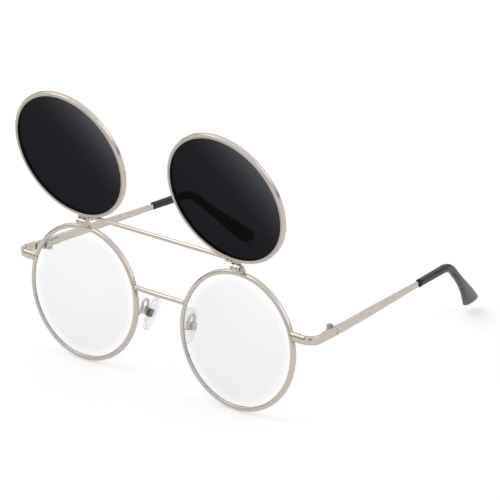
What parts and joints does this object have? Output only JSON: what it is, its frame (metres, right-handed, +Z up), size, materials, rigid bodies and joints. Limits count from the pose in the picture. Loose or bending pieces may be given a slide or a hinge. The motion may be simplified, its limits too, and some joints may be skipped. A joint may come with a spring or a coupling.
{
  "type": "flip up sunglasses",
  "caption": "Round wire-rim glasses with clear lenses, folding temples and a pair of dark lenses on one bar that flips up on two small hinges.",
  "frame": {"origin": "middle of the bounding box at the level of the surface that the glasses rest on", "axes": "+X towards the wearer's left, -Y the way the wearer looks, +Z up; the glasses stand open on their rims and temple tips"},
  "size_m": [0.142, 0.1338, 0.1081],
  "materials": {
    "frame_metal": "polished pale nickel",
    "screw_steel": "plain steel screws",
    "clear_lens": "clear polished lens",
    "dark_lens": "dark grey polished lens",
    "sleeve": "glossy black sleeve",
    "nose_pad": "clear soft silicone"
  },
  "bodies": {
    "front": {"bridge": "frame_metal", "eyewire_left": "frame_metal", "eyewire_right": "frame_metal", "clear_lens_left": "clear_lens", "clear_lens_right": "clear_lens", "end_piece_left": "frame_metal", "end_piece_right": "frame_metal", "rim_lock_screw_left": "screw_steel", "rim_lock_screw_right": "screw_steel", "front_hinge_leaf_left": "frame_metal", "front_hinge_leaf_right": "frame_metal", "temple_hinge_screw_left": "screw_steel", "temple_hinge_screw_right": "screw_steel", "pad_arm_left": "frame_metal", "pad_arm_right": "frame_metal", "pad_box_left": "frame_metal", "pad_box_right": "frame_metal", "pad_screw_left": "screw_steel", "pad_screw_right": "screw_steel", "flip_hinge_base_left": "frame_metal", "flip_hinge_base_right": "frame_metal", "flip_hinge_screw_left": "screw_steel", "flip_hinge_screw_right": "screw_steel"},
    "flip_unit": {"flip_bar": "frame_metal", "flip_rim_left": "frame_metal", "flip_rim_right": "frame_metal", "dark_lens_left": "dark_lens", "dark_lens_right": "dark_lens", "flip_knuckle_left": "frame_metal", "flip_knuckle_right": "frame_metal"},
    "temple_left": {"temple_arm_left": "frame_metal", "temple_hinge_leaf_left": "frame_metal", "temple_sleeve_left": "sleeve"},
    "temple_right": {"temple_arm_right": "frame_metal", "temple_hinge_leaf_right": "frame_metal", "temple_sleeve_right": "sleeve"},
    "pad_left": {"nose_pad_left": "nose_pad", "pad_insert_left": "frame_metal"},
    "pad_right": {"nose_pad_right": "nose_pad", "pad_insert_right": "frame_metal"}
  },
  "joints": [
    {"name": "flip_hinge", "type": "hinge", "parent": "front", "child": "flip_unit", "pos_m": [0, -0.05591, 0.05445], "axis": [1, 0, 0], "range_deg": [-1.5, 163.5]},
    {"name": "temple_hinge_left", "type": "hinge", "parent": "front", "child": "temple_left", "pos_m": [0.06687, -0.0417, 0.03314], "axis": [0, 0.0866, 0.9962], "range_deg": [0, 85]},
    {"name": "temple_hinge_right", "type": "hinge", "parent": "front", "child": "temple_right", "pos_m": [-0.06687, -0.0417, 0.03314], "axis": [0, -0.0866, -0.9962], "range_deg": [0, 80]},
    {"name": "nose_pad_rock_left", "type": "hinge", "parent": "front", "child": "pad_left", "pos_m": [0.01145, -0.05089, 0.02329], "axis": [0.1904, 0.9, -0.3922], "range_deg": [-10, 10]},
    {"name": "nose_pad_rock_right", "type": "hinge", "parent": "front", "child": "pad_right", "pos_m": [-0.01145, -0.05089, 0.02329], "axis": [0.1904, -0.9, 0.3922], "range_deg": [-10, 10]}
  ]
}
